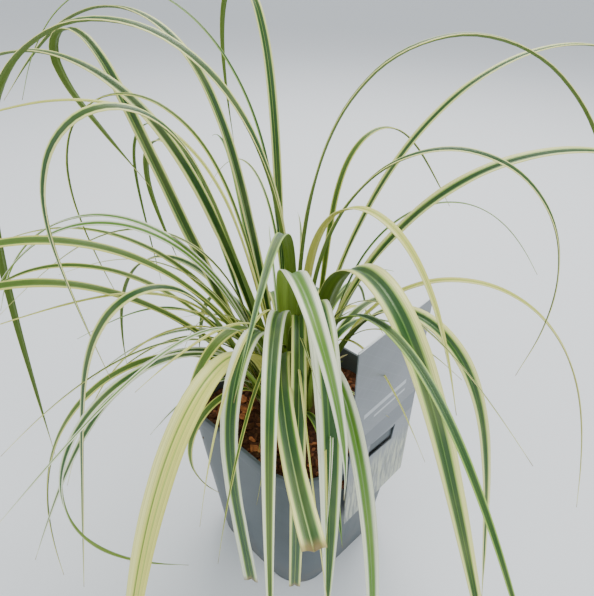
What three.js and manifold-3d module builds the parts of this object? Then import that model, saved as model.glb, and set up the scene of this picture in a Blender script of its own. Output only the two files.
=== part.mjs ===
// A variegated carex in its square nursery pot, with a plant label hooked over the rim.
// Units are millimetres, +Z is up. The origin is the middle of the pot's base, on the surface it stands on.
// The pot's walls face along X and Y, and the label hangs on the +X wall.
import * as THREE from "three";
import { mergeVertices } from "three/addons/utils/BufferGeometryUtils.js";
import Module from "manifold-3d";

const wasm = await Module();
wasm.setup();

// ---- driving dimensions ----
const POT_HEIGHT = 134;
const RIM_HALF = 65; // half the outer width of the rim collar
const COLLAR_HEIGHT = 9;
const COLLAR_PROUD = 2.4; // how far the collar stands out from the wall
const BASE_HALF = 49;
const BASE_THICKNESS = 2;
const WALL = 1.6;
const RIM_CORNER = 31; // corner radius at the rim
const BASE_CORNER = 24; // and at the base
const DRAIN_RADIUS = 4.5;
const DRAIN_REACH = 30; // from the middle of the base to each drain hole, along X and Y
const GAP = 0.3; // between pieces that touch
const EDGE_BEVEL = 0.8; // on the pot's moulded edges
const DRAIN_SIDES = 16;

const MIX_TOP = 119; // height of the potting mix
const CROWN_X = -16; // the plant stands a little off the middle of the pot
const CROWN_Y = 9;
const CROWN_RADIUS = 33;
const CROWN_TOP = 124.4;
const CROWN_SHOULDER = 2; // height of its edge, and width of the slope above that
const CROWN_SIDES = 24;
const LEAF_START = 125.2; // leaves leave the crown just above its top

const LABEL_WIDTH = 65;
const LABEL_HEIGHT = 170;
const LABEL_THICKNESS = 0.8;
const LABEL_Y = 6; // its middle along the wall
const LABEL_Z = 150; // its middle height
const LABEL_LEAN = 5; // degrees it leans out from the pot, going up
const LABEL_TILT = 6.5; // degrees it has slipped round, in its own plane
const LABEL_CLEARANCE = 0.5; // between the card and the collar it leans from
const TONGUE_WIDTH = 24; // the tongue cut in the label, which hooks inside the rim
const TONGUE_Y = 8.5;
const TONGUE_DROP = 12; // how far it hangs down inside
const TONGUE_CUT = 1; // width of the slit beside it
const WINDOW_BELOW_COLLAR = 2.5; // the window that the tongue leaves reaches this far below the collar
const WINDOW_ABOVE_RIM = 3;

const LEAF_THICKNESS = 0.9;
const LEAF_END_WIDTH = 0.6; // at the tip
const SHEATH_WIDTH = 0.45; // share of its width that a leaf has at the crown
const OPEN_AT = 0.35; // part of its length where it has its full width
const TAPER_FROM = 0.45; // part of its length where it starts to narrow
const TAPER_POWER = 1.6;
const OPEN_FOLD = 0.12; // depth of the V, as a share of the width, in the open leaf
const SHEATH_FOLD = 0.2; // and how much deeper it is at the crown
const EVEN_SPACING = 0.55; // share of a leaf's sections that is spread evenly, not gathered at its bend
const LEAF_SECTIONS = 15; // steps along each leaf
const LEAF_FINE_STEPS = 160; // steps that its curve is added up in

// ---- finishes ----
const potPlastic = new THREE.MeshStandardMaterial({ color: 0x525d61, roughness: 0.5, metalness: 0 });
const mixStuff = new THREE.MeshStandardMaterial({ color: 0x24170f, roughness: 0.95, metalness: 0 });
const crownStuff = new THREE.MeshStandardMaterial({ color: 0x6b6a33, roughness: 0.8, metalness: 0 });
const labelCard = new THREE.MeshStandardMaterial({ color: 0x858a90, roughness: 0.45, metalness: 0 });
const leafStuff = new THREE.MeshStandardMaterial({ color: 0x8f9d55, roughness: 0.5, metalness: 0 });

// ---- helpers ----
function radians(degrees) {
  return (degrees * Math.PI) / 180;
}

// A closed solid through rings of points, in order, with a flat cap at each end.
function loft(rings) {
  const count = rings[0].length;
  const positions = rings.flat().flatMap((point) => point.toArray());
  const faces = [];
  for (let ring = 0; ring + 1 < rings.length; ring += 1) {
    for (let side = 0; side < count; side += 1) {
      const here = ring * count + side;
      const next = ring * count + ((side + 1) % count);
      faces.push(here, next, here + count, next, next + count, here + count);
    }
  }
  const last = (rings.length - 1) * count;
  for (let side = 1; side + 1 < count; side += 1) {
    faces.push(0, side + 1, side);
    faces.push(last, last + side, last + side + 1);
  }
  const geometry = new THREE.BufferGeometry();
  geometry.setAttribute("position", new THREE.Float32BufferAttribute(positions, 3));
  geometry.setIndex(faces);
  return geometry;
}

// A square with round corners, level at height z, anticlockwise from above.
function roundedSquare(half, corner, z) {
  const steps = 6;
  const ring = [];
  for (let quarter = 0; quarter < 4; quarter += 1) {
    const diagonal = radians(45 + 90 * quarter);
    const reach = Math.SQRT2 * (half - corner);
    for (let step = 0; step <= steps; step += 1) {
      const angle = radians(90 * (quarter + step / steps));
      ring.push(new THREE.Vector3(
        reach * Math.cos(diagonal) + corner * Math.cos(angle),
        reach * Math.sin(diagonal) + corner * Math.sin(angle),
        z,
      ));
    }
  }
  return ring;
}

function toSolid(geometry) {
  const bare = geometry.clone();
  bare.deleteAttribute("normal");
  bare.deleteAttribute("uv");
  const merged = mergeVertices(bare, 1e-4);
  return new wasm.Manifold(new wasm.Mesh({
    numProp: 3,
    vertProperties: new Float32Array(merged.attributes.position.array),
    triVerts: new Uint32Array(merged.index.array),
  }));
}

function toGeometry(solid) {
  const mesh = solid.getMesh();
  const geometry = new THREE.BufferGeometry();
  geometry.setAttribute("position", new THREE.BufferAttribute(new Float32Array(mesh.vertProperties), 3));
  geometry.setIndex(new THREE.BufferAttribute(new Uint32Array(mesh.triVerts), 1));
  return geometry;
}

function named(name, geometry, material) {
  const mesh = new THREE.Mesh(geometry, material);
  mesh.name = name;
  return mesh;
}

// ---- pot ----
// The wall slopes evenly from the base to the collar, and so does its corner radius.
function wallHalf(z) {
  const top = RIM_HALF - COLLAR_PROUD;
  return BASE_HALF + ((top - BASE_HALF) * z) / (POT_HEIGHT - COLLAR_HEIGHT);
}

function wallCorner(z) {
  return BASE_CORNER + ((RIM_CORNER - COLLAR_PROUD - BASE_CORNER) * z) / (POT_HEIGHT - COLLAR_HEIGHT);
}

function wallRing(z, inset) {
  return roundedSquare(wallHalf(z) - inset, wallCorner(z) - inset, z);
}

function makePot() {
  const underCollar = POT_HEIGHT - COLLAR_HEIGHT;
  const shell = toSolid(loft([
    wallRing(0, EDGE_BEVEL),
    wallRing(EDGE_BEVEL, 0),
    wallRing(underCollar, 0),
    roundedSquare(RIM_HALF, RIM_CORNER, underCollar + EDGE_BEVEL),
    roundedSquare(RIM_HALF, RIM_CORNER, POT_HEIGHT - EDGE_BEVEL),
    roundedSquare(RIM_HALF - EDGE_BEVEL, RIM_CORNER - EDGE_BEVEL, POT_HEIGHT),
    roundedSquare(RIM_HALF - COLLAR_PROUD, RIM_CORNER - COLLAR_PROUD, POT_HEIGHT),
    wallRing(underCollar, WALL),
    wallRing(BASE_THICKNESS, WALL),
  ]));
  let pot = shell;
  for (const [column, row] of [[-1, -1], [0, -1], [1, -1], [-1, 0], [1, 0], [-1, 1], [0, 1], [1, 1]]) {
    const drill = new THREE.CylinderGeometry(DRAIN_RADIUS, DRAIN_RADIUS, 4 * BASE_THICKNESS, DRAIN_SIDES);
    drill.rotateX(radians(90));
    drill.translate(column * DRAIN_REACH, row * DRAIN_REACH, 0);
    pot = pot.subtract(toSolid(drill));
  }
  return named("pot", toGeometry(pot), potPlastic);
}

// ---- potting mix and crown ----
function makePottingMix() {
  const low = BASE_THICKNESS + GAP;
  const inset = WALL + GAP;
  return named("potting_mix", loft([wallRing(low, inset), wallRing(MIX_TOP, inset)]), mixStuff);
}

function makeCrown() {
  const low = MIX_TOP + GAP;
  const outline = [
    new THREE.Vector2(0, low),
    new THREE.Vector2(CROWN_RADIUS, low),
    new THREE.Vector2(CROWN_RADIUS, low + CROWN_SHOULDER),
    new THREE.Vector2(CROWN_RADIUS - CROWN_SHOULDER, CROWN_TOP),
    new THREE.Vector2(0, CROWN_TOP),
  ];
  const crown = new THREE.LatheGeometry(outline, CROWN_SIDES);
  crown.rotateX(radians(90));
  const mesh = named("crown", toGeometry(toSolid(crown)), crownStuff);
  mesh.position.set(CROWN_X, CROWN_Y, 0);
  return mesh;
}

// ---- plant label ----
// A card with a window. The tongue cut from the window bends over the rim and hooks inside the pot's wall.
function makeLabel() {
  const underCollar = POT_HEIGHT - COLLAR_HEIGHT;
  const lean = Math.tan(radians(LABEL_LEAN));
  const innerFace = (z) => RIM_HALF + LABEL_CLEARANCE + (z - underCollar) * lean;
  const windowLow = underCollar - WINDOW_BELOW_COLLAR;
  const windowHigh = POT_HEIGHT + WINDOW_ABOVE_RIM;

  const card = new THREE.BoxGeometry(LABEL_THICKNESS, LABEL_WIDTH, LABEL_HEIGHT);
  card.rotateX(radians(LABEL_TILT));
  card.rotateY(radians(LABEL_LEAN));
  card.translate(innerFace(LABEL_Z) + LABEL_THICKNESS / 2, LABEL_Y, LABEL_Z);

  const windowDepth = 4 * COLLAR_PROUD; // enough to go right through the leaning card
  const windowCut = new THREE.BoxGeometry(windowDepth, TONGUE_WIDTH + 2 * TONGUE_CUT, windowHigh - windowLow);
  windowCut.translate(innerFace(POT_HEIGHT), TONGUE_Y, (windowLow + windowHigh) / 2);

  // The tongue in side view: from the card at the top of the window, over the rim, down inside the wall.
  const over = POT_HEIGHT + LABEL_CLEARANCE;
  const tongueLow = over - TONGUE_DROP;
  const inside = wallHalf(tongueLow) - WALL - GAP - LABEL_THICKNESS;
  const bentTop = windowHigh + TONGUE_CUT;
  const side = new THREE.Shape();
  side.moveTo(inside, tongueLow);
  side.lineTo(inside + LABEL_THICKNESS, tongueLow);
  side.lineTo(inside + LABEL_THICKNESS, over);
  side.lineTo(innerFace(windowHigh) + LABEL_THICKNESS / 2, over + LABEL_THICKNESS);
  side.lineTo(innerFace(windowHigh) + LABEL_THICKNESS / 2, bentTop);
  side.lineTo(innerFace(windowHigh) - LABEL_THICKNESS, bentTop);
  side.lineTo(inside, over + LABEL_THICKNESS);
  const tongue = new THREE.ExtrudeGeometry(side, { depth: TONGUE_WIDTH, bevelEnabled: false });
  tongue.rotateX(radians(90));
  tongue.translate(0, TONGUE_Y + TONGUE_WIDTH / 2, 0);

  const label = toSolid(card).subtract(toSolid(windowCut)).add(toSolid(tongue));
  return named("plant_label", toGeometry(label), labelCard);
}

// ---- leaves ----
// Each leaf grows out of the crown, at the distance `reach` from its middle in the direction `bearing`, and
// sets off towards its heading. Directions are in degrees anticlockwise from +X. It climbs at the angle rise,
// bends over at the part `bendAt` of its length, and goes on at the angle fall. A large sharpness makes the
// bend a fold, and a small one a long arch. Sweep is how far the heading turns on the way. Lengths are in mm.
// A cut leaf has been trimmed and keeps its width to a blunt end.
// The tall, steep leaves stand in the middle rings of the crown and the low, spreading ones in the outer
// rings, and each sets off nearly straight away from the middle, so that they fan out clear of each other.
const LEAVES = [
  // name, reach, bearing, heading, sweep, rise, fall, length, bendAt, sharpness, width
  ["leaf_front_1", 17, 0, -25, 0, 80, -55, 370, 0.45, 6, 13],
  ["leaf_front_2", 24, -30, -40, 0, 85, -85, 340, 0.45, 5, 12.5],
  ["leaf_front_3", 10, -50, -60, 40, 85, -95, 300, 0.85, 2, 12],
  ["leaf_front_4", 3, -45, -50, 0, 85, -5, 320, 0.5, 4, 5],
  ["leaf_front_5", 17, -50, -55, 15, 80, -45, 320, 0.5, 3, 8],
  ["leaf_front_6", 17, -20, -20, -20, 80, -30, 340, 0.45, 2, 5],
  ["leaf_front_7", 30, -22, -35, 0, 80, -90, 310, 0.4, 3, 8],
  ["cut_leaf_1", 30, -61, -60, 0, 75, -100, 340, 0.4, 8, 8.5],
  ["cut_leaf_2", 24, -51, -57, 25, 80, 0, 240, 0.35, 4, 8],
  ["cut_leaf_3", 30, -41, -45, 0, 85, -105, 370, 0.4, 6, 6.5],
  ["leaf_left_1", 30, -73, -65, 0, 75, -70, 330, 0.4, 4, 11.5],
  ["leaf_left_2", 24, -80, -80, 0, 85, -80, 180, 0.6, 4, 8],
  ["leaf_left_3", 30, -104, -105, 0, 80, -65, 270, 0.3, 4, 7],
  ["leaf_left_4", 30, -88, -100, 0, 70, -80, 380, 0.4, 10, 7.5],
  ["leaf_left_5", 24, -112, -120, -5, 60, -65, 390, 0.5, 3, 8.5],
  ["leaf_left_6", 17, -110, -120, 0, 70, -45, 380, 0.5, 3, 9],
  ["leaf_left_7", 24, -148, -150, 0, 75, -30, 280, 0.45, 2, 4.5],
  ["leaf_left_8", 24, -130, -135, -5, 65, -70, 370, 0.45, 3, 5],
  ["leaf_left_9", 10, -100, -105, 0, 75, -100, 420, 0.6, 9, 8.5],
  ["leaf_left_10", 30, -155, -160, 0, 65, -135, 400, 0.7, 16, 10],
  ["leaf_left_11", 30, -81, -95, 0, 75, -135, 370, 0.4, 3, 6],
  ["leaf_left_12", 30, -112, -110, 0, 70, -90, 310, 0.3, 3, 6],
  ["leaf_left_13", 30, -142, -150, 0, 75, -35, 190, 0.35, 4, 2.5],
  ["leaf_left_14", 30, -96, -95, 0, 80, -125, 150, 0.2, 2, 4.5],
  ["leaf_left_15", 17, -145, -140, 0, 75, -70, 310, 0.6, 3, 6.5],
  ["leaf_left_16", 17, -128, -135, 0, 75, -65, 350, 0.5, 4, 6],
  ["leaf_high_1", 3, -150, -130, -30, 90, -90, 700, 0.42, 6, 9.5],
  ["leaf_high_2", 17, -158, -150, 0, 75, -55, 430, 0.65, 4, 10],
  ["leaf_high_3", 17, 178, -165, 10, 80, -45, 420, 0.65, 6, 9],
  ["leaf_high_4", 10, -125, -140, 10, 80, -20, 390, 0.55, 6, 5],
  ["leaf_high_5", 10, -150, -145, 0, 80, -110, 420, 0.6, 6, 4],
  ["leaf_high_6", 10, 165, 165, -5, 85, -110, 420, 0.7, 8, 5.5],
  ["leaf_high_7", 10, -175, -155, 0, 90, -65, 430, 0.7, 4, 2.5],
  ["leaf_high_8", 3, 60, 30, 0, 90, -80, 560, 0.5, 6, 7.5],
  ["leaf_right_1", 10, 60, 60, 0, 80, -50, 450, 0.65, 3, 6.5],
  ["leaf_right_2", 17, 45, 45, 0, 80, -50, 450, 0.5, 3, 10.5],
  ["leaf_right_3", 10, 20, 25, 0, 90, -105, 400, 0.6, 4, 6.5],
  ["leaf_right_4", 17, 80, 80, 5, 85, -50, 320, 0.6, 9, 4.5],
  ["leaf_right_5", 10, -10, -10, 0, 90, -70, 310, 0.6, 5, 6],
  ["leaf_right_6", 24, 30, 30, 0, 80, -80, 370, 0.4, 4, 5],
  ["leaf_right_7", 24, -8, -5, 0, 70, -80, 340, 0.45, 7, 8.5],
  ["leaf_right_8", 24, 62, 60, 0, 85, -55, 290, 0.55, 4, 2.5],
  ["leaf_right_9", 30, -33, -35, 10, 45, -70, 130, 0.5, 4, 4.5],
  ["leaf_back_1", 24, 74, 80, 0, 80, -30, 120, 0.35, 5, 5],
  ["leaf_back_2", 24, 98, 95, 0, 75, -55, 160, 0.3, 4, 3],
  ["leaf_back_3", 17, 105, 90, 0, 75, -30, 140, 0.55, 2, 3.5],
  ["leaf_back_4", 30, 102, 105, 0, 70, -75, 160, 0.45, 3, 4],
  ["leaf_back_5", 24, 178, -175, 0, 65, -120, 320, 0.65, 8, 8],
  ["leaf_back_6", 30, -174, -170, 0, 70, -100, 350, 0.6, 10, 3.5],
  ["leaf_back_7", 30, -166, -165, 0, 80, -90, 290, 0.4, 3, 5.5],
  ["leaf_back_8", 24, 165, 165, 0, 65, -30, 200, 0.95, 8, 6.5],
  ["leaf_back_9", 30, 120, 120, 0, 75, -90, 160, 0.4, 5, 6.5],
  ["leaf_back_10", 30, 150, 150, 0, 75, -90, 150, 0.4, 5, 6],
  ["leaf_back_11", 30, 85, 85, 0, 70, -75, 170, 0.4, 3, 7],
  ["leaf_back_12", 30, 176, -180, 0, 70, -80, 170, 0.4, 4, 6],
].map(([name, reach, bearing, heading, sweep, rise, fall, length, bendAt, sharpness, width]) => (
  { name, reach, bearing, heading, sweep, rise, fall, length, bendAt, sharpness, width, cut: name.startsWith("cut") }
));

// How much of its bend a leaf has made at the part t of its length: 0 at the crown, 1 at the tip.
function bend(leaf, t) {
  const start = Math.tanh(-leaf.sharpness * leaf.bendAt);
  const end = Math.tanh(leaf.sharpness * (1 - leaf.bendAt));
  return (Math.tanh(leaf.sharpness * (t - leaf.bendAt)) - start) / (end - start);
}

function slopeAt(leaf, t) {
  return radians(leaf.rise + (leaf.fall - leaf.rise) * bend(leaf, t));
}

function headingAt(leaf, t) {
  return radians(leaf.heading + leaf.sweep * t);
}

function leafMidline(leaf) {
  const bearing = radians(leaf.bearing);
  const point = new THREE.Vector3(
    CROWN_X + leaf.reach * Math.cos(bearing),
    CROWN_Y + leaf.reach * Math.sin(bearing),
    LEAF_START,
  );
  const midline = [point.clone()];
  const step = leaf.length / LEAF_FINE_STEPS;
  for (let index = 0; index < LEAF_FINE_STEPS; index += 1) {
    const t = (index + 0.5) / LEAF_FINE_STEPS;
    const slope = slopeAt(leaf, t);
    const heading = headingAt(leaf, t);
    point.x += step * Math.cos(slope) * Math.cos(heading);
    point.y += step * Math.cos(slope) * Math.sin(heading);
    point.z += step * Math.sin(slope);
    midline.push(point.clone());
  }
  return midline;
}

// The sections stand closer together where the leaf bends.
function sectionPlaces(leaf) {
  const places = [];
  for (let index = 0; index <= LEAF_FINE_STEPS; index += 1) {
    const t = index / LEAF_FINE_STEPS;
    const progress = EVEN_SPACING * t + (1 - EVEN_SPACING) * bend(leaf, t);
    if (places.length < LEAF_SECTIONS && progress >= places.length / LEAF_SECTIONS - 1e-9) {
      places.push(index);
    }
  }
  places.push(LEAF_FINE_STEPS);
  return places;
}

// A leaf is narrow and folded where it sheathes the shoot, then opens out, and is drawn out to a point.
function openness(t) {
  const open = Math.min(1, t / OPEN_AT);
  return open * open * (3 - 2 * open);
}

function widthAt(leaf, t) {
  const sheath = SHEATH_WIDTH + (1 - SHEATH_WIDTH) * openness(t);
  const narrowed = Math.max(0, (t - TAPER_FROM) / (1 - TAPER_FROM)) ** TAPER_POWER;
  return Math.max(LEAF_END_WIDTH, leaf.width * sheath * (leaf.cut ? 1 : 1 - narrowed));
}

function foldAt(leaf, t) {
  return (OPEN_FOLD + SHEATH_FOLD * (1 - openness(t))) * widthAt(leaf, t);
}

// Each section is a shallow V: left edge, top of the keel, right edge, underside of the keel.
function makeLeaf(leaf) {
  const midline = leafMidline(leaf);
  const rings = sectionPlaces(leaf).map((index) => {
    const t = index / LEAF_FINE_STEPS;
    const slope = slopeAt(leaf, t);
    const heading = headingAt(leaf, t);
    const across = new THREE.Vector3(Math.sin(heading), -Math.cos(heading), 0);
    const up = new THREE.Vector3(
      -Math.cos(heading) * Math.sin(slope),
      -Math.sin(heading) * Math.sin(slope),
      Math.cos(slope),
    );
    const half = widthAt(leaf, t) / 2;
    const fold = foldAt(leaf, t) / 2;
    const place = (side, height) => midline[index].clone()
      .addScaledVector(across, side)
      .addScaledVector(up, height);
    return [
      place(-half, fold),
      place(0, LEAF_THICKNESS / 2 - fold),
      place(half, fold),
      place(0, -LEAF_THICKNESS / 2 - fold),
    ];
  });
  return named(leaf.name, loft(rings), leafStuff);
}

// ---- the whole object ----
const plant = new THREE.Group();
plant.add(makePot(), makePottingMix(), makeCrown(), makeLabel());
for (const leaf of LEAVES) {
  plant.add(makeLeaf(leaf));
}

export default plant;
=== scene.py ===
"""A variegated carex in its square nursery pot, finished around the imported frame. Lengths are in metres."""

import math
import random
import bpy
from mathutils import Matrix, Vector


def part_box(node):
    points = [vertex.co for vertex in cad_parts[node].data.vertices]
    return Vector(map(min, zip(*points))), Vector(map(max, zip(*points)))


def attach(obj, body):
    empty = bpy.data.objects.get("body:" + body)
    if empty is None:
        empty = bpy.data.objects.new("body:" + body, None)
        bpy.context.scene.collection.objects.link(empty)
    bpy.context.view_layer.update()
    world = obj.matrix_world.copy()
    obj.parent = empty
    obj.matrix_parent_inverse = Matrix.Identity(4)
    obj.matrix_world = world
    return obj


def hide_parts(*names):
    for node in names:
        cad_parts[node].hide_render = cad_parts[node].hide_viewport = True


bl_info = {
    "name": "Potted Carex",
    "version": (1, 0, 0),
    "blender": (4, 5, 0),
    "location": "View3D > Sidebar > Carex",
    "description": "Finishes the pot, potting mix, crown, leaves and plant label of a potted carex",
    "category": "Add Mesh",
}

import bmesh
import bpy
from mathutils import Euler, Matrix, Vector, noise

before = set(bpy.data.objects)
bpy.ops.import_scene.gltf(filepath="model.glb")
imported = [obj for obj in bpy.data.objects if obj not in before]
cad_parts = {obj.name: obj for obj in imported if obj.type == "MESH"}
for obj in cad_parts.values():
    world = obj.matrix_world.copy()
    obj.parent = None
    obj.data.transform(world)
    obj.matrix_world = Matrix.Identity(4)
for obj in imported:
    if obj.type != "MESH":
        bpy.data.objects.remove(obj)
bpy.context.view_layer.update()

MM = 0.001
POT_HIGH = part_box("pot")[1]
MIX_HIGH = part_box("potting_mix")[1]
CROWN_LOW, CROWN_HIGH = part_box("crown")
CROWN_MIDDLE = (CROWN_LOW + CROWN_HIGH) / 2
CROWN_RADIUS = (CROWN_HIGH.x - CROWN_LOW.x) / 2
LEAF_START = 0.1252  # height at which the leaves leave the crown
LEAF_COUNT = 55
ACROSS = 12  # faces across a leaf
ALONG = 84  # faces along a leaf

# The label's middle along the wall and in height, and how far it has slipped round in its own plane.
LABEL_MIDDLE = (0.0, 0.006, 0.15)
LABEL_TILT = 6.5

# The camera: its place, its turn about Z, its tilt up from straight down and its roll in degrees, and its
# lens in millimetres.
CAMERA_PLACE = (0.2150, -0.2244, 0.4077)
CAMERA_HEADING = 44.4
CAMERA_PITCH = 58.1
CAMERA_ROLL = 0.9
CAMERA_LENS = 34.55


def srgb(red, green, blue):
    """The linear colour of screen values from 0 to 255."""
    return tuple((value / 255) ** 2.2 for value in (red, green, blue))


def length_property(name, description, default):
    return bpy.props.FloatProperty(
        name=name, description=description, default=default, unit="LENGTH", subtype="DISTANCE", precision=5
    )


def colour_property(name, description, default):
    return bpy.props.FloatVectorProperty(
        name=name, description=description, default=default, subtype="COLOR", size=3, min=0, max=1
    )


class CarexSizes(bpy.types.PropertyGroup):
    """Sizes of the finished pieces."""

    wall: length_property("Pot wall", "Thickness of the pot's wall", 1.6 * MM)
    collar: length_property("Collar height", "Height of the collar round the rim", 9 * MM)
    collar_proud: length_property("Collar depth", "How far the collar stands out from the wall", 2.4 * MM)
    rim_corner: length_property("Rim corner", "Corner radius of the rim", 31 * MM)
    base_corner: length_property("Base corner", "Corner radius of the base", 24 * MM)
    base_half: length_property("Half base", "Half the width of the base", 49 * MM)
    edge: length_property("Soft edge", "Rounding of the pot's moulded edges", 0.8 * MM)
    floor: length_property("Floor thickness", "Thickness of the pot's floor", 2.0 * MM)
    drain_radius: length_property("Drain hole", "Radius of a drain hole", 4.5 * MM)
    drain_reach: length_property("Drain hole spacing", "Distance from one drain hole to the next", 30 * MM)
    blade: length_property("Leaf thickness", "Thickness of a leaf", 0.35 * MM)
    fullness: bpy.props.FloatProperty(
        name="Leaf fullness", description="Width of a leaf as a share of its solid in the frame", default=1.15
    )
    mix_rough: length_property("Mix roughness", "Height of the lumps in the potting mix", 2.4 * MM)
    chips: bpy.props.IntProperty(name="Bark chips", description="Number of loose bark chips", default=620)
    sheaths: bpy.props.IntProperty(
        name="Sheaths", description="Number of old sheaths in the crown", default=110
    )
    young: bpy.props.IntProperty(name="Young leaves", description="Number of thin young leaves", default=34)


class CarexColours(bpy.types.PropertyGroup):
    """Colours of the finished pieces."""

    pot: colour_property("Pot", "Colour of the pot's plastic", srgb(84, 92, 96))
    dark_green: colour_property("Dark green", "Middle of a leaf", srgb(34, 80, 8))
    mid_green: colour_property("Mid green", "Lines beside the middle", srgb(96, 142, 40))
    pale_green: colour_property("Pale green", "Bands beside the edge", srgb(164, 196, 84))
    cream: colour_property("Cream", "Cream edge of a leaf", srgb(246, 244, 148))
    white: colour_property("White", "White edge of a leaf", srgb(244, 248, 214))
    yellow: colour_property("Yellow", "Pale yellow leaf", srgb(232, 230, 112))
    olive: colour_property("Olive", "Olive leaf", srgb(84, 114, 22))
    silver: colour_property("Silver", "Silver-green leaf", srgb(146, 174, 120))
    underside: colour_property("Underside", "Underside of a leaf", srgb(88, 112, 34))
    dry: colour_property("Dry", "Dried tips and old sheaths", srgb(158, 128, 78))
    mix: colour_property("Potting mix", "Colour of the potting mix", srgb(74, 46, 30))
    bark: colour_property("Bark", "Colour of the bark chips", srgb(150, 92, 56))
    label: colour_property("Label", "Colour of the label card", srgb(112, 118, 124))
    floor: colour_property("Floor", "Colour of the floor", srgb(232, 235, 238))


def sizes():
    return bpy.context.scene.carex_sizes


def colours():
    return bpy.context.scene.carex_colours


class Value:
    """A number socket of a material, so that shader maths reads as Python."""

    def __init__(self, finish, socket):
        self.finish = finish
        self.socket = socket

    def maths(self, operation, first, second=0.0, clamp=False):
        settings = {"operation": operation, "use_clamp": clamp}
        made = self.finish.node("ShaderNodeMath", settings, {0: first, 1: second})
        return Value(self.finish, made.outputs[0])

    def __add__(self, other):
        return self.maths("ADD", self, other)

    def __sub__(self, other):
        return self.maths("SUBTRACT", self, other)

    def __rsub__(self, other):
        return self.maths("SUBTRACT", other, self)

    def __mul__(self, other):
        return self.maths("MULTIPLY", self, other)

    __radd__ = __add__
    __rmul__ = __mul__

    def size(self):
        return self.maths("ABSOLUTE", self)

    def part(self):
        """What is left above the whole number."""
        return self.maths("FRACT", self)

    def ramp(self, low, high):
        """0 at low and below, 1 at high and above, smooth between."""
        made = self.finish.node(
            "ShaderNodeMapRange",
            {"interpolation_type": "SMOOTHSTEP"},
            {"Value": self, 1: low, 2: high, 3: 0.0, 4: 1.0},
        )
        return Value(self.finish, made.outputs[0])


class Finish:
    """A material with one Principled shader."""

    def __init__(self, name, **constants):
        self.material = bpy.data.materials.new(name)
        self.material.use_nodes = True
        self.tree = self.material.node_tree
        self.shader = self.tree.nodes["Principled BSDF"]
        for socket, value in constants.items():
            self.shader.inputs[socket.replace("_", " ").title().replace("Ior", "IOR")].default_value = value

    def node(self, kind, settings=None, sockets=None):
        """Adds a node: its settings first, then the values or links of its sockets."""
        made = self.tree.nodes.new(kind)
        for name, value in (settings or {}).items():
            setattr(made, name, value)
        for name, value in (sockets or {}).items():
            self.plug(made.inputs[name], value)
        return made

    def plug(self, socket, value):
        if isinstance(value, Value):
            value = value.socket
        if isinstance(value, bpy.types.NodeSocket):
            self.tree.links.new(value, socket)
        elif socket.type == "RGBA":
            socket.default_value = (*value, 1.0)
        else:
            socket.default_value = value

    def place(self):
        return self.node("ShaderNodeTexCoord").outputs["Object"]

    def noise(self, where, scale, detail=4.0, rough=0.55, stretch=(1, 1, 1)):
        moved = self.node("ShaderNodeMapping", {}, {"Vector": where, "Scale": stretch})
        made = self.node(
            "ShaderNodeTexNoise",
            {},
            {"Vector": moved.outputs[0], "Scale": scale, "Detail": detail, "Roughness": rough},
        )
        return Value(self, made.outputs[0])

    def mix(self, share, first, second, blend="MIX"):
        settings = {"data_type": "RGBA", "blend_type": blend}
        made = self.node("ShaderNodeMix", settings, {0: share, 6: first, 7: second})
        return made.outputs[2]

    def bands(self, value, stops):
        """A colour for each part of the value, from (place, colour) stops in order."""
        made = self.node("ShaderNodeValToRGB", {}, {0: value})
        ramp = made.color_ramp
        while len(ramp.elements) < len(stops):
            ramp.elements.new(0.5)
        for element, (at, colour) in zip(ramp.elements, stops):
            element.position = at
            element.color = (*colour, 1.0)
        return made.outputs[0]

    def split(self, where):
        made = self.node("ShaderNodeSeparateXYZ", {}, {0: where})
        return [Value(self, made.outputs[axis]) for axis in range(3)]

    def colour(self, socket):
        self.plug(self.shader.inputs["Base Color"], socket)

    def roughness(self, value):
        self.plug(self.shader.inputs["Roughness"], value)

    def bump(self, height, depth, strength=1.0):
        made = self.node("ShaderNodeBump", {}, {"Height": height, "Distance": depth, "Strength": strength})
        self.plug(self.shader.inputs["Normal"], made.outputs[0])


def make_piece(name, shape, materials, smooth=True):
    """Turns a bmesh into an object at the origin, riding on the root body."""
    mesh = bpy.data.meshes.new(name)
    shape.to_mesh(mesh)
    shape.free()
    for polygon in mesh.polygons:
        polygon.use_smooth = smooth
    for material in materials:
        mesh.materials.append(material)
    piece = bpy.data.objects.new(name, mesh)
    bpy.context.scene.collection.objects.link(piece)
    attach(piece, "root")
    return piece


# ---- pot ----
def pot_finish():
    finish = Finish("pot_plastic", specular_ior_level=0.45)
    where = finish.place()
    cloud = finish.noise(where, 26, 5)
    fine = finish.noise(where, 900, 2)
    scuffs = finish.noise(where, 60, 6, 0.7, (1, 1, 0.25)).ramp(0.6, 0.72)
    dust = finish.split(where)[2].ramp(0.03, 0.0) * finish.noise(where, 90, 5).ramp(0.35, 0.7)
    base = Vector(colours().pot)
    plain = finish.mix(cloud.ramp(0.3, 0.7), tuple(base * 0.86), tuple(base * 1.12))
    worn = finish.mix(scuffs * 0.22, plain, tuple(base * 1.7))
    finish.colour(finish.mix(dust * 0.35, worn, srgb(126, 110, 92)))
    finish.roughness(0.4 + cloud * 0.12 + scuffs * 0.12)
    finish.bump(fine * 0.4 + cloud * 0.6, 0.12 * MM, 0.6)
    return finish.material


def rounded_ring(shape, half, corner, height):
    """Adds a level rounded square and returns its edges and its face."""
    older = set(shape.faces)
    corners = [shape.verts.new((x * half, y * half, height)) for x, y in ((-1, -1), (1, -1), (1, 1), (-1, 1))]
    shape.faces.new(corners)
    bmesh.ops.bevel(
        shape, geom=corners, offset=corner, offset_type="OFFSET", affect="VERTICES", segments=14, profile=0.5,
        material=-1,
    )
    face = next(one for one in shape.faces if one not in older)
    return list(face.edges), face


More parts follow.
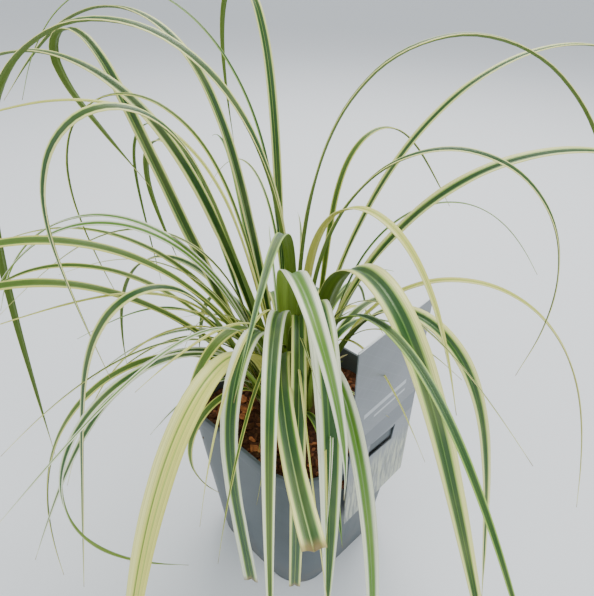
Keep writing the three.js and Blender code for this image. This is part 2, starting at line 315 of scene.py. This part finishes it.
def make_pot():
    """A thin moulded shell: sloping wall, collar with a soft lip, and a solid floor; drill_holes cuts the
    drain holes afterwards.
    """
    size = sizes()
    top = POT_HIGH.z
    rim = POT_HIGH.x
    under = top - size.collar
    soft = size.edge
    floor = size.floor

    def wall(height, inset):
        share = height / under
        half = size.base_half + (rim - size.collar_proud - size.base_half) * share
        corner = size.base_corner + (size.rim_corner - size.collar_proud - size.base_corner) * share
        return half - inset, corner - inset, height

    profile = [
        wall(0.0, soft), wall(0.25 * soft, 0.3 * soft), wall(soft, 0.0), wall(0.33 * under, 0.0),
        wall(0.66 * under, 0.0), wall(under - soft, 0.0), wall(under, 0.0),
        (rim - 0.3 * soft, size.rim_corner - 0.3 * soft, under),
        (rim, size.rim_corner, under + 0.6 * soft), (rim, size.rim_corner, top - soft),
        (rim - 0.3 * soft, size.rim_corner - 0.3 * soft, top - 0.25 * soft),
        (rim - soft, size.rim_corner - soft, top),
        (rim - size.collar_proud + 0.2 * soft, size.rim_corner - size.collar_proud + 0.2 * soft, top),
        (rim - size.collar_proud, size.rim_corner - size.collar_proud, top - 0.3 * soft),
        wall(under, size.wall), wall(0.5 * under, size.wall), wall(floor, size.wall),
    ]
    shape = bmesh.new()
    half, corner, height = profile[0]
    ring, face = rounded_ring(shape, half, corner, height)
    corners = {}
    for vertex in face.verts:
        sign = Vector((math.copysign(1, vertex.co.x), math.copysign(1, vertex.co.y)))
        corners[vertex] = (sign, (vertex.co.xy - sign * (half - corner)) / corner)
    for half, corner, height in profile[1:]:
        by_place = {vertex.co.to_tuple(): turn for vertex, turn in corners.items()}
        made = bmesh.ops.extrude_edge_only(shape, edges=ring)["geom"]
        corners = {one: by_place[one.co.to_tuple()] for one in made if isinstance(one, bmesh.types.BMVert)}
        ring = [
            one
            for one in made
            if isinstance(one, bmesh.types.BMEdge) and all(vert in corners for vert in one.verts)
        ]
        for vertex, (sign, turn) in corners.items():
            vertex.co = (*(sign * (half - corner) + turn * corner), height)
    bmesh.ops.contextual_create(shape, geom=ring)
    bmesh.ops.recalc_face_normals(shape, faces=shape.faces)
    return shape


def drill_holes(piece):
    """Cuts the drain holes through the floor."""
    size = sizes()
    reach = size.drain_reach
    cutters = bmesh.new()
    for column, row in ((-1, -1), (0, -1), (1, -1), (-1, 0), (1, 0), (-1, 1), (0, 1), (1, 1)):
        bmesh.ops.create_cone(
            cutters, cap_ends=True, segments=32, radius1=size.drain_radius, radius2=size.drain_radius,
            depth=6 * size.floor,
            matrix=Matrix.Translation((column * reach, row * reach, 0)),
        )
    mesh = bpy.data.meshes.new("drills")
    cutters.to_mesh(mesh)
    cutters.free()
    drills = bpy.data.objects.new("drills", mesh)
    bpy.context.scene.collection.objects.link(drills)
    cut = piece.modifiers.new("holes", "BOOLEAN")
    cut.operation = "DIFFERENCE"
    cut.solver = "MANIFOLD"
    cut.object = drills
    result = bpy.data.meshes.new_from_object(piece.evaluated_get(bpy.context.evaluated_depsgraph_get()))
    piece.modifiers.clear()
    piece.data = result
    bpy.data.objects.remove(drills)


class CAREX_OT_pot(bpy.types.Operator):
    """Make the pot with its collar, lip and drain holes"""

    bl_idname = "carex.pot"
    bl_label = "Make Pot"

    def execute(self, context):
        piece = make_piece("nursery_pot", make_pot(), [pot_finish()])
        drill_holes(piece)
        piece.data.set_sharp_from_angle(angle=math.radians(40))
        if len(piece.data.polygons) < 500:
            raise RuntimeError("the pot's shell wasn't made")
        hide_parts("pot")
        return {"FINISHED"}


# ---- potting mix ----
def mix_finish():
    finish = Finish("potting_mix", specular_ior_level=0.25)
    where = finish.place()
    grain = finish.noise(where, 420, 6, 0.7)
    patch = finish.noise(where, 70, 4)
    base = Vector(colours().mix)
    shade = finish.mix(grain.ramp(0.35, 0.7), tuple(base * 0.45), tuple(base * 1.9))
    finish.colour(finish.mix(patch.ramp(0.5, 0.7) * 0.5, shade, tuple(Vector(colours().bark) * 0.6)))
    finish.roughness(0.95 - grain * 0.15)
    finish.bump(grain, 0.9 * MM)
    return finish.material


def bark_finish(name, shade):
    finish = Finish(name, specular_ior_level=0.3)
    where = finish.place()
    grain = finish.noise(where, 260, 5, 0.7)
    base = Vector(colours().bark) * shade
    finish.colour(finish.mix(grain.ramp(0.3, 0.7), tuple(base * 0.5), tuple(base * 1.5)))
    finish.roughness(0.9 - grain * 0.2)
    finish.bump(grain, 0.4 * MM)
    return finish.material


def mix_height(x, y):
    """Height of the mix's surface: lumpy, and a little higher round the crown."""
    size = sizes()
    away = Vector((x - CROWN_MIDDLE.x, y - CROWN_MIDDLE.y)).length
    mound = 2.0 * MM * math.exp(-((away / (1.3 * CROWN_RADIUS)) ** 2))
    lumps = noise.noise(Vector((x * 90, y * 90, 0))) + 0.6 * noise.noise(Vector((x * 260, y * 260, 5)))
    return MIX_HIGH.z - 1.2 * MM + mound + size.mix_rough * 0.8 * lumps


def to_rounded(x, y, half):
    """Moves a point of a square into the pot's round-cornered opening."""
    squash = 0.17
    return x * math.sqrt(1 - squash * (y / half) ** 2), y * math.sqrt(1 - squash * (x / half) ** 2)


class CAREX_OT_mix(bpy.types.Operator):
    """Fill the pot with potting mix and loose bark chips"""

    bl_idname = "carex.mix"
    bl_label = "Fill Potting Mix"

    def execute(self, context):
        half = MIX_HIGH.x - 0.4 * MM
        shape = bmesh.new()
        bmesh.ops.create_grid(shape, x_segments=130, y_segments=130, size=half)
        for vertex in shape.verts:
            x, y = to_rounded(vertex.co.x, vertex.co.y, half)
            vertex.co = (x, y, mix_height(x, y))
        piece = make_piece("soil", shape, [mix_finish()])
        depth = piece.modifiers.new("depth", "SOLIDIFY")
        depth.thickness = 12 * MM
        depth.offset = -1
        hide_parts("potting_mix")

        draw = random.Random(11)
        shape = bmesh.new()
        for index in range(sizes().chips):
            x, y = to_rounded(draw.uniform(-0.93, 0.93) * half, draw.uniform(-0.93, 0.93) * half, half)
            long = draw.choice((3, 4, 5, 6, 7, 9, 12)) * MM
            angles = (draw.uniform(-0.5, 0.5), draw.uniform(-0.5, 0.5), draw.uniform(0, 6.28))
            turn = Euler(angles).to_matrix().to_4x4()
            wide, thick = draw.uniform(0.2, 0.4), draw.uniform(0.1, 0.24)
            stretch = Matrix.Diagonal((long / 2, long * wide, long * thick, 1))
            place = Matrix.Translation((x, y, mix_height(x, y) + draw.uniform(0.0, 0.12) * long))
            made = bmesh.ops.create_icosphere(
                shape, subdivisions=1, radius=1.0, matrix=place @ turn @ stretch
            )
            middle = place.translation
            for vertex in made["verts"]:
                vertex.co = middle + (vertex.co - middle) * draw.uniform(0.65, 1.15)
            tone = draw.choice((0, 0, 0, 1, 1, 2))
            for face in {face for vertex in made["verts"] for face in vertex.link_faces}:
                face.material_index = tone
        tones = [bark_finish("bark_dark", 0.35), bark_finish("bark_mid", 0.75), bark_finish("bark_pale", 1.5)]
        chips = make_piece("bark_chips", shape, tones, smooth=False)
        return {"FINISHED"}


# ---- leaves ----
class Midline:
    """The line that a leaf follows, with its width and the direction across it, at any part of its length."""

    def __init__(self, points, across, widths):
        self.points, self.across, self.widths = points, across, widths
        self.reach = [0.0]
        for here, there in zip(points, points[1:]):
            self.reach.append(self.reach[-1] + (there - here).length)
        self.length = self.reach[-1]
        count = len(points)
        self.slopes = []
        for index in range(count):
            low, high = max(0, index - 1), min(count - 1, index + 1)
            self.slopes.append((points[high] - points[low]) / (self.reach[high] - self.reach[low]))

    def at(self, part):
        """Point, direction along, direction across and width."""
        distance = part * self.length
        index = 0
        while index < len(self.points) - 2 and self.reach[index + 1] < distance:
            index += 1
        span = self.reach[index + 1] - self.reach[index]
        t = min(1.0, max(0.0, (distance - self.reach[index]) / span))
        t2, t3 = t * t, t * t * t
        start, end = self.points[index], self.points[index + 1]
        leave, arrive = self.slopes[index] * span, self.slopes[index + 1] * span
        point = (
            start * (2 * t3 - 3 * t2 + 1)
            + leave * (t3 - 2 * t2 + t)
            + end * (3 * t2 - 2 * t3)
            + arrive * (t3 - t2)
        )
        along = self.slopes[index].lerp(self.slopes[index + 1], t).normalized()
        across = self.across[index].lerp(self.across[index + 1], t)
        across = (across - along * across.dot(along)).normalized()
        return point, along, across, self.widths[index] * (1 - t) + self.widths[index + 1] * t


def frame_midline(name):
    """Reads a leaf's midline and widths from its solid in the frame: rings of four, crown to tip."""
    shape = bmesh.new()
    shape.from_mesh(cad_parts[name].data)
    bmesh.ops.remove_doubles(shape, verts=shape.verts, dist=0.01 * MM)
    near = [
        vertex for vertex in shape.verts
        if (vertex.co - Vector((CROWN_MIDDLE.x, CROWN_MIDDLE.y, LEAF_START))).length < 1.15 * CROWN_RADIUS
    ]
    ring = sorted(near, key=lambda vertex: abs(vertex.co.z - LEAF_START))[:4]
    seen = set(ring)
    rings = []
    while ring:
        rings.append([vertex.co.copy() for vertex in ring])
        after = []
        for vertex in ring:
            for edge in vertex.link_edges:
                other = edge.other_vert(vertex)
                if other not in seen:
                    seen.add(other)
                    after.append(other)
        ring = after
    shape.free()
    if any(len(ring) != 4 for ring in rings) or len(rings) < 8:
        raise RuntimeError(name + " isn't a row of rings of four")
    middles = [sum(ring, Vector()) / 4 for ring in rings]
    out = middles[len(middles) // 2] - middles[0]
    widest = max((a - b for a in rings[0] for b in rings[0]), key=lambda gap: gap.length)
    side = widest.normalized()
    if side.dot(Vector((out.y, -out.x, 0))) < 0:
        side.negate()
    points, across, widths = [], [], []
    for ring in rings:
        right = max(ring, key=lambda point: point.dot(side))
        left = min(ring, key=lambda point: point.dot(side))
        side = (right - left).normalized()
        points.append((left + right) / 2)
        across.append(side.copy())
        widths.append((right - left).length * sizes().fullness)
    return Midline(points, across, widths)


def lay_blade(shape, line, seed, cut=False, across=ACROSS, along=ALONG, wave=1.0, finish=0):
    """Adds a leaf along a midline: a shallow keel, raised sides, slightly wavy edges and a fine point."""
    sheet = shape.loops.layers.uv.verify()
    made = bmesh.ops.create_grid(shape, x_segments=across, y_segments=along, size=0.5, calc_uvs=True)
    uv = {}
    for vertex in made["verts"]:
        u, v = vertex.co.x + 0.5, vertex.co.y + 0.5
        uv[vertex] = (u, v)
        point, forward, side, width = line.at(v)
        twist = wave * 0.3 * noise.noise(Vector((v * 2.2, seed * 3.1, 0)))
        side = (side * math.cos(twist) + forward.cross(side) * -math.sin(twist)).normalized()
        up = side.cross(forward)
        q = 2 * u - 1
        if not cut:
            width *= min(1.0, 0.1 + 9 * (1 - v))
        sheath = 1 - min(1.0, v / 0.3)
        keel = (0.16 + 0.5 * sheath) * abs(q) ** 1.15 + 0.07 * (1 - sheath) * math.sin(math.pi * abs(q))
        edge = wave * 0.05 * noise.noise(Vector((v * 14, seed, 7 if q > 0 else 0))) * q * q
        vertex.co = point + side * (q * width / 2) + up * (width * (keel - 0.1 + edge))
    for face in {face for vertex in made["verts"] for face in vertex.link_faces}:
        face.material_index = finish
        for loop in face.loops:
            loop[sheet].uv = uv[loop.vert]


def leaf_finish(name, stops, gloss, streak=0.35, lines=60.0):
    """A leaf's upper side: bands across it from the stops, with fine long veins."""
    finish = Finish(name, specular_ior_level=0.55, coat_weight=0.12, coat_roughness=0.3)
    sheet = finish.node("ShaderNodeUVMap").outputs[0]
    u, v, _ = finish.split(sheet)
    where = finish.place()
    wander = finish.noise(sheet, 1.0, 2, 0.5, (1.5, 5, 1))
    veins = finish.noise(sheet, 1.0, 3, 0.6, (lines, 2.5, 1))
    patches = finish.noise(where, 18, 3)
    banded = finish.bands(u + (wander - 0.5) * 0.09 + (veins - 0.5) * 0.07, stops)
    veined = finish.mix(veins.ramp(0.46, 0.66) * streak, banded, tuple(Vector(colours().dark_green) * 1.2))
    bright = finish.mix(patches.ramp(0.45, 0.75) * 0.1, veined, colours().cream[:])
    sheath = v.ramp(0.16, 0.0)
    at_root = finish.mix(sheath * 0.55, bright, srgb(196, 196, 140))
    finish.colour(finish.mix(v.ramp(0.975, 1.0) * 0.7, at_root, colours().dry[:]))
    finish.roughness(gloss + veins * 0.14)
    finish.bump(veins, 0.16 * MM, 0.8)
    return finish.material


def underside_finish(name, shade):
    finish = Finish(name, specular_ior_level=0.4)
    sheet = finish.node("ShaderNodeUVMap").outputs[0]
    veins = finish.noise(sheet, 1.0, 3, 0.6, (50, 2.5, 1))
    base = Vector(shade)
    finish.colour(finish.mix(veins.ramp(0.35, 0.7), tuple(base * 0.8), tuple(base * 1.25)))
    finish.roughness(0.5 + veins * 0.15)
    finish.bump(veins, 0.15 * MM, 0.8)
    return finish.material


def leaf_stops(edge, band, middle, line, left, right):
    """Bands across a leaf: pale edges, a soft band, then a dark middle with a paler line along the keel."""
    return [
        (0.0, edge), (left, edge), (left + 0.07, band), (left + 0.13, middle), (0.46, middle), (0.5, line),
        (0.54, middle), (1 - right - 0.12, middle), (1 - right - 0.06, band), (1 - right, edge), (1.0, edge),
    ]


def leaf_finishes():
    """Finishes by name: (upper side, underside)."""
    c = colours()
    dark, mid, pale = c.dark_green[:], c.mid_green[:], c.pale_green[:]
    cream, white, yellow = c.cream[:], c.white[:], c.yellow[:]
    under = tuple(c.underside)
    light_under = tuple(Vector(under).lerp(Vector(pale), 0.55))
    pairs = {
        "cream_edged": (leaf_stops(cream, pale, dark, mid, 0.2, 0.11), under, 0.34),
        "cream_lined": (leaf_stops(cream, mid, dark, pale, 0.11, 0.13), under, 0.36),
        "white_edged": (leaf_stops(white, pale, dark, mid, 0.1, 0.2), light_under, 0.3),
        "silver": (leaf_stops(white, c.silver[:], mid, c.silver[:], 0.2, 0.18), light_under, 0.3),
        "yellow": (
            [(0.0, yellow), (0.3, yellow), (0.34, pale), (0.38, yellow), (0.55, yellow), (0.6, mid),
             (0.66, yellow),
             (0.8, cream), (1.0, cream)],
            tuple(Vector(yellow) * 0.6), 0.38,
        ),
        "olive": (leaf_stops(yellow, mid, c.olive[:], mid, 0.13, 0.11), under, 0.42),
        "green": (leaf_stops(pale, mid, dark, mid, 0.09, 0.09), under, 0.38),
    }
    return {
        name: (leaf_finish("leaf_" + name, stops, gloss), underside_finish("under_" + name, shade))
        for name, (stops, shade, gloss) in pairs.items()
    }


LEAF_KINDS = {
    "cream_edged": (
        "leaf_front_1", "leaf_left_9", "leaf_high_2", "leaf_right_2", "leaf_right_7", "leaf_left_4",
        "leaf_back_9", "leaf_right_1", "leaf_back_5",
    ),
    "white_edged": (
        "leaf_front_2", "leaf_front_5", "cut_leaf_1", "leaf_left_3", "leaf_left_11", "leaf_back_11",
    ),
    "silver": ("leaf_front_3", "leaf_left_15", "leaf_left_16", "leaf_front_7"),
    "yellow": ("leaf_left_1", "leaf_right_5", "leaf_right_6", "leaf_high_4", "leaf_back_2"),
    "olive": (
        "leaf_left_2", "leaf_left_5", "leaf_left_6", "leaf_left_7", "leaf_left_8", "leaf_left_12",
        "leaf_left_14", "leaf_high_5", "leaf_right_4", "leaf_back_10",
    ),
    "cream_lined": (
        "leaf_left_10", "leaf_high_1", "leaf_high_3", "leaf_high_8", "leaf_right_3", "cut_leaf_3",
        "leaf_back_7", "leaf_high_6", "cut_leaf_2",
    ),
}


class CAREX_OT_leaves(bpy.types.Operator):
    """Grow every long leaf along its place in the frame"""

    bl_idname = "carex.leaves"
    bl_label = "Grow Leaves"

    def execute(self, context):
        finishes = leaf_finishes()
        kind_of = {name: kind for kind, names in LEAF_KINDS.items() for name in names}
        names = sorted(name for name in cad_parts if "leaf_" in name)
        for seed, name in enumerate(names):
            shape = bmesh.new()
            lay_blade(shape, frame_midline(name), seed, cut=name.startswith("cut"))
            piece = make_piece(name.replace("leaf", "blade"), shape, finishes[kind_of.get(name, "green")])
            body = piece.modifiers.new("thickness", "SOLIDIFY")
            body.thickness = sizes().blade
            body.offset = 0
            body.material_offset = 1
            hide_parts(name)
        if len(names) != LEAF_COUNT:
            raise RuntimeError(f"the frame should hold {LEAF_COUNT} leaves")
        return {"FINISHED"}


def arc(root, heading, sweep, rise, fall, length, width, sharp=4.0, bend_at=0.5, steps=18):
    """The midline of a leaf that climbs at one angle and bends over to another, given in degrees."""
    point = Vector(root)
    points, across, widths = [], [], []
    start, end = math.tanh(-sharp * bend_at), math.tanh(sharp * (1 - bend_at))
    for index in range(steps + 1):
        t = index / steps
        slope = math.radians(
            rise + (fall - rise) * (math.tanh(sharp * (t - bend_at)) - start) / (end - start)
        )
        turn = math.radians(heading + sweep * t)
        points.append(point.copy())
        across.append(Vector((math.sin(turn), -math.cos(turn), 0)))
        widths.append(width * (0.5 + 0.5 * min(1, t / 0.3)) * max(0.08, 1 - max(0, (t - 0.4) / 0.6) ** 1.6))
        direction = Vector(
            (math.cos(slope) * math.cos(turn), math.cos(slope) * math.sin(turn), math.sin(slope))
        )
        point = point + direction * (length / steps)
    return Midline(points, across, widths)


class CAREX_OT_young(bpy.types.Operator):
    """Grow the thin young leaves among the long ones"""

    bl_idname = "carex.young"
    bl_label = "Grow Young Leaves"

    def execute(self, context):
        finishes = leaf_finishes()
        draw = random.Random(5)
        shape = bmesh.new()
        kinds = ("green", "olive", "yellow", "cream_lined", "silver")
        for index in range(sizes().young):
            bearing = draw.uniform(-180, 180) if index % 3 else draw.uniform(-170, 0)
            reach = draw.uniform(6, 27) * MM
            root = (
                CROWN_MIDDLE.x + reach * math.cos(math.radians(bearing)),
                CROWN_MIDDLE.y + reach * math.sin(math.radians(bearing)),
                LEAF_START - 4 * MM,
            )
            line = arc(
                root, bearing + draw.uniform(-12, 12), draw.uniform(-30, 30), draw.uniform(72, 86),
                draw.uniform(-75, -5), draw.uniform(0.09, 0.3), draw.uniform(1.3, 3.4) * MM,
                draw.uniform(2, 5), draw.uniform(0.35, 0.6),
            )
            lay_blade(shape, line, 100 + index, across=6, along=40, finish=2 * draw.randrange(len(kinds)))
        materials = [material for kind in kinds for material in finishes[kind]]
        piece = make_piece("young_leaves", shape, materials)
        body = piece.modifiers.new("thickness", "SOLIDIFY")
        body.thickness = 0.8 * sizes().blade
        body.offset = 0
        body.material_offset = 1
        return {"FINISHED"}


# ---- crown ----
def sheath_finish(name, low, high):
    finish = Finish(name, specular_ior_level=0.35)
    sheet = finish.node("ShaderNodeUVMap").outputs[0]
    _, v, _ = finish.split(sheet)
    veins = finish.noise(sheet, 1.0, 4, 0.6, (40, 2, 1))
    body = finish.mix(v.ramp(0.1, 0.8), low, high)
    finish.colour(finish.mix(veins.ramp(0.4, 0.7) * 0.5, body, srgb(74, 58, 34)))
    finish.roughness(0.6 + veins * 0.2)
    finish.bump(veins, 0.3 * MM)
    return finish.material


class CAREX_OT_crown(bpy.types.Operator):
    """Make the crown that the leaves grow from, with old sheaths round it"""

    bl_idname = "carex.crown"
    bl_label = "Make Crown"

    def execute(self, context):
        draw = random.Random(23)
        shape = bmesh.new()
        bmesh.ops.create_uvsphere(shape, u_segments=64, v_segments=24, radius=1.0)
        height = CROWN_HIGH.z - MIX_HIGH.z
        for vertex in shape.verts:
            x, y, z = vertex.co
            rough = 1 + 0.07 * noise.noise(vertex.co * 5)
            vertex.co = (
                CROWN_MIDDLE.x + x * CROWN_RADIUS * 0.94 * rough,
                CROWN_MIDDLE.y + y * CROWN_RADIUS * 0.94 * rough,
                MIX_HIGH.z - 1.5 * MM + z * height * 1.1 * rough,
            )
        mound = make_piece("crown_mound", shape, [mix_finish()])
        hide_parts("crown")

        shape = bmesh.new()
        for index in range(sizes().sheaths):
            bearing = draw.uniform(-180, 180)
            reach = CROWN_RADIUS * 0.93 * math.sqrt(draw.uniform(0.02, 1))
            root = (
                CROWN_MIDDLE.x + reach * math.cos(math.radians(bearing)),
                CROWN_MIDDLE.y + reach * math.sin(math.radians(bearing)),
                MIX_HIGH.z - 2 * MM,
            )
            line = arc(
                root, bearing + draw.uniform(-30, 30), draw.uniform(-20, 20), draw.uniform(74, 90),
                draw.uniform(30, 70), draw.uniform(14, 46) * MM, draw.uniform(3, 6.5) * MM, 3, 0.6, 8,
            )
            slot = draw.choice((0, 0, 1, 2))
            lay_blade(shape, line, 300 + index, cut=index % 4 == 0, across=6, along=10, finish=slot)
        tones = [
            sheath_finish("sheath_green", srgb(150, 148, 84), srgb(120, 140, 66)),
            sheath_finish("sheath_brown", srgb(92, 66, 40), srgb(164, 134, 86)),
            sheath_finish("sheath_straw", srgb(170, 150, 100), srgb(206, 196, 140)),
        ]
        sheaths = make_piece("old_sheaths", shape, tones)
        body = sheaths.modifiers.new("thickness", "SOLIDIFY")
        body.thickness = 0.4 * MM
        body.offset = 0
        return {"FINISHED"}


# ---- plant label ----
def label_finish():
    """A printed card: faint diamond tiles, a dark band, pale strokes and soft grass tufts, all generic."""
    finish = Finish("label_card", specular_ior_level=0.5, coat_weight=0.25, coat_roughness=0.2)
    card = finish.node(
        "ShaderNodeMapping", {"vector_type": "TEXTURE"},
        {
            "Vector": finish.place(),
            "Location": LABEL_MIDDLE,
            "Rotation": (math.radians(LABEL_TILT), 0.0, 0.0),
        },
    ).outputs[0]
    _, y, z = finish.split(card)
    tile = 9 * MM
    slant = ((y + z) * (1 / tile)).part() - 0.5
    other = ((y - z) * (1 / tile)).part() - 0.5
    lines = slant.size().ramp(0.44, 0.49) + other.size().ramp(0.44, 0.49)
    tuft = finish.noise(card, 1.0, 5, 0.6, (1, 420, 45))
    low = z.ramp(-0.022, -0.05)
    base = Vector(colours().label)
    ground = finish.mix(finish.noise(card, 30, 3).ramp(0.3, 0.7), tuple(base * 0.92), tuple(base * 1.08))
    tiled = finish.mix(lines * 0.2, ground, tuple(base * 1.5))
    grassy = finish.mix(tuft.ramp(0.4, 0.62) * low * 0.85, tiled, srgb(186, 190, 158))
    shaded = finish.mix(tuft.ramp(0.5, 0.35) * low * 0.7, grassy, srgb(116, 122, 96))
    band = (z + 0.004).size().ramp(0.0086, 0.008)
    banded = finish.mix(band * 0.75, shaded, srgb(82, 90, 99))
    stroke = (z - 0.024).size().ramp(0.0021, 0.0017) * (y + 0.002).size().ramp(0.0205, 0.02)
    second = (z - 0.0165).size().ramp(0.0011, 0.0008) * (y - 0.003).size().ramp(0.0155, 0.015)
    printed = finish.mix((stroke + second) * 0.6, banded, srgb(206, 211, 216))
    finish.colour(finish.mix(z.ramp(0.0835, 0.0842), printed, srgb(236, 238, 240)))
    finish.roughness(0.34 + finish.noise(card, 90, 3) * 0.1)
    finish.bump(finish.noise(card, 500, 2), 0.05 * MM, 0.4)
    return finish.material


class CAREX_OT_label(bpy.types.Operator):
    """Print the plant label that hangs on the rim"""

    bl_idname = "carex.label"
    bl_label = "Print Label"

    def execute(self, context):
        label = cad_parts["plant_label"]
        if not label.material_slots:
            raise RuntimeError("the label has no material slot")
        for slot in label.material_slots:
            slot.material = label_finish()
        return {"FINISHED"}


# ---- stage ----
def add_light(name, place, aim, power, width, colour):
    data = bpy.data.lights.new(name, "AREA")
    data.shape = "SQUARE"
    data.size = width
    data.energy = power
    data.color = colour
    lamp = bpy.data.objects.new(name, data)
    bpy.context.scene.collection.objects.link(lamp)
    lamp.location = place
    lamp.rotation_euler = (Vector(aim) - Vector(place)).to_track_quat("-Z", "Y").to_euler()


class CAREX_OT_stage(bpy.types.Operator):
    """Set the floor, the soft lights and the camera"""

    bl_idname = "carex.stage"
    bl_label = "Set Stage"

    def execute(self, context):
        shape = bmesh.new()
        bmesh.ops.create_grid(shape, x_segments=1, y_segments=1, size=6.0)
        mesh = bpy.data.meshes.new("floor")
        shape.to_mesh(mesh)
        shape.free()
        floor = bpy.data.objects.new("floor", mesh)
        finish = Finish("floor", roughness=0.7)
        finish.colour(colours().floor[:])
        mesh.materials.append(finish.material)
        context.scene.collection.objects.link(floor)

        world = bpy.data.worlds.new("soft sky")
        context.scene.world = world
        world.use_nodes = True
        backdrop = world.node_tree.nodes["Background"]
        backdrop.inputs["Color"].default_value = (0.82, 0.86, 0.9, 1)
        backdrop.inputs["Strength"].default_value = 1.0
        aim = (0, 0, 0.2)
        add_light("window", (-0.5, 0.9, 1.6), aim, 30, 1.2, (1.0, 0.99, 0.97))
        add_light("fill", (0.2, -1.6, 1.1), aim, 11, 1.6, (0.93, 0.96, 1.0))
        add_light("side", (1.5, 0.3, 0.9), aim, 8, 1.2, (0.95, 0.98, 1.0))

        data = bpy.data.cameras.new("view")
        data.lens = CAMERA_LENS
        data.sensor_width = 36
        data.clip_start = 0.01
        camera = bpy.data.objects.new("view", data)
        context.scene.collection.objects.link(camera)
        turn = (
            Matrix.Rotation(math.radians(CAMERA_HEADING), 4, "Z")
            @ Matrix.Rotation(math.radians(CAMERA_PITCH), 4, "X")
            @ Matrix.Rotation(math.radians(CAMERA_ROLL), 4, "Z")
        )
        camera.matrix_world = Matrix.Translation(CAMERA_PLACE) @ turn
        context.scene.camera = camera
        return {"FINISHED"}


STEPS = (
    CAREX_OT_pot,
    CAREX_OT_mix,
    CAREX_OT_crown,
    CAREX_OT_leaves,
    CAREX_OT_young,
    CAREX_OT_label,
    CAREX_OT_stage,
)


class CAREX_PT_panel(bpy.types.Panel):
    """The steps that finish the plant, in order"""

    bl_idname = "CAREX_PT_panel"
    bl_label = "Potted Carex"
    bl_space_type = "VIEW_3D"
    bl_region_type = "UI"
    bl_category = "Carex"

    def draw(self, context):
        for step in STEPS:
            self.layout.operator(step.bl_idname)
        for group in (context.scene.carex_sizes, context.scene.carex_colours):
            for name in group.__annotations__:
                self.layout.prop(group, name)


CLASSES = (CarexSizes, CarexColours, *STEPS, CAREX_PT_panel)


def register():
    for one in CLASSES:
        bpy.utils.register_class(one)
    bpy.types.Scene.carex_sizes = bpy.props.PointerProperty(type=CarexSizes)
    bpy.types.Scene.carex_colours = bpy.props.PointerProperty(type=CarexColours)


def unregister():
    del bpy.types.Scene.carex_colours
    del bpy.types.Scene.carex_sizes
    for one in reversed(CLASSES):
        bpy.utils.unregister_class(one)


def main():
    """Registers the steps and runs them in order."""
    register()
    bpy.ops.carex.pot()
    bpy.ops.carex.mix()
    bpy.ops.carex.crown()
    bpy.ops.carex.leaves()
    bpy.ops.carex.young()
    bpy.ops.carex.label()
    bpy.ops.carex.stage()


if __name__ == "__main__":
    main()
